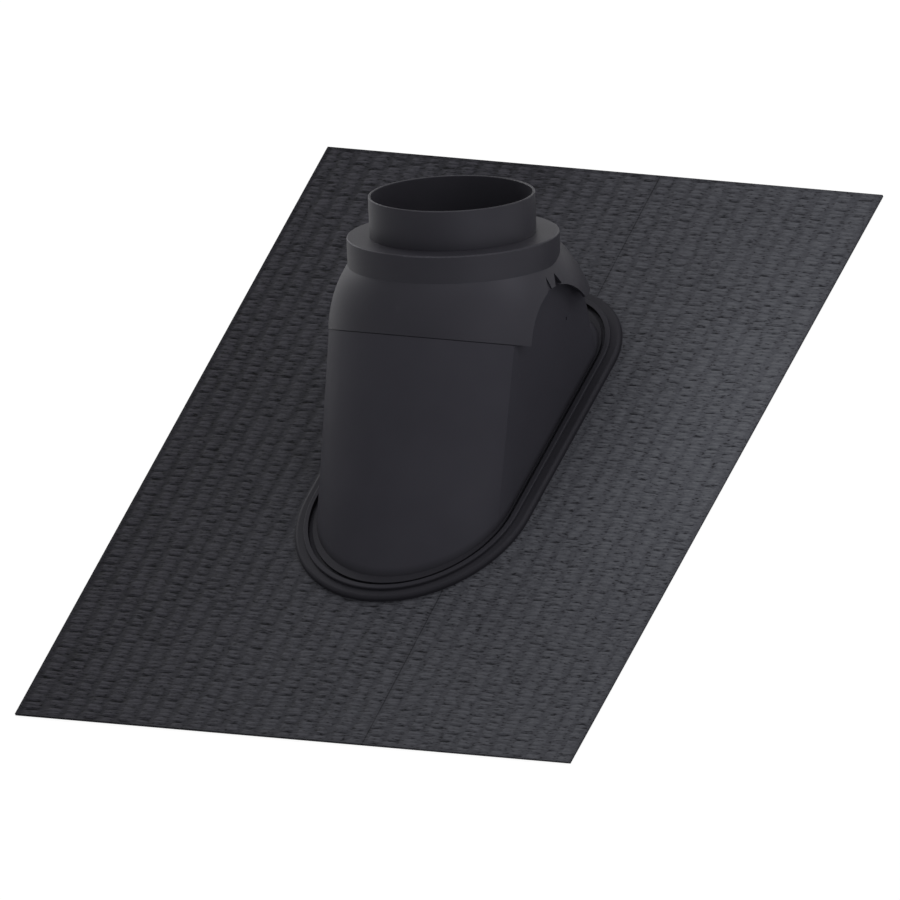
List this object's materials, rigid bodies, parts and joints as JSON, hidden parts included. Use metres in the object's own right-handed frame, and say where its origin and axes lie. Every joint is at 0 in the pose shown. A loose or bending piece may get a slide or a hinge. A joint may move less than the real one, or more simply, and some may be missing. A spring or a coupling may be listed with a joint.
{
  "type": "pipe flashing boot",
  "caption": "Pitched-roof pipe flashing: embossed apron sheet, moulded base and a ball cap with collar that tilts back for steeper roofs.",
  "frame": {"origin": "centre of the apron's underside", "axes": "+X across the roof, +Y up the slope, +Z away from the roof; the collar stands plumb at rest, on a 33.5 degree pitch"},
  "size_m": [0.5, 0.625, 0.1981],
  "materials": {
    "apron_rubber": "matte",
    "base_plastic": "satin",
    "cap_plastic": "satin"
  },
  "bodies": {
    "base": {"apron": "apron_rubber", "base": "base_plastic"},
    "cap": {"cap": "cap_plastic"}
  },
  "joints": [
    {"name": "cap_tilt", "type": "hinge", "parent": "base", "child": "cap", "pos_m": [0, 0.06891, 0.07041], "axis": [1, 0, 0], "range_deg": [-11.5, 0]}
  ]
}
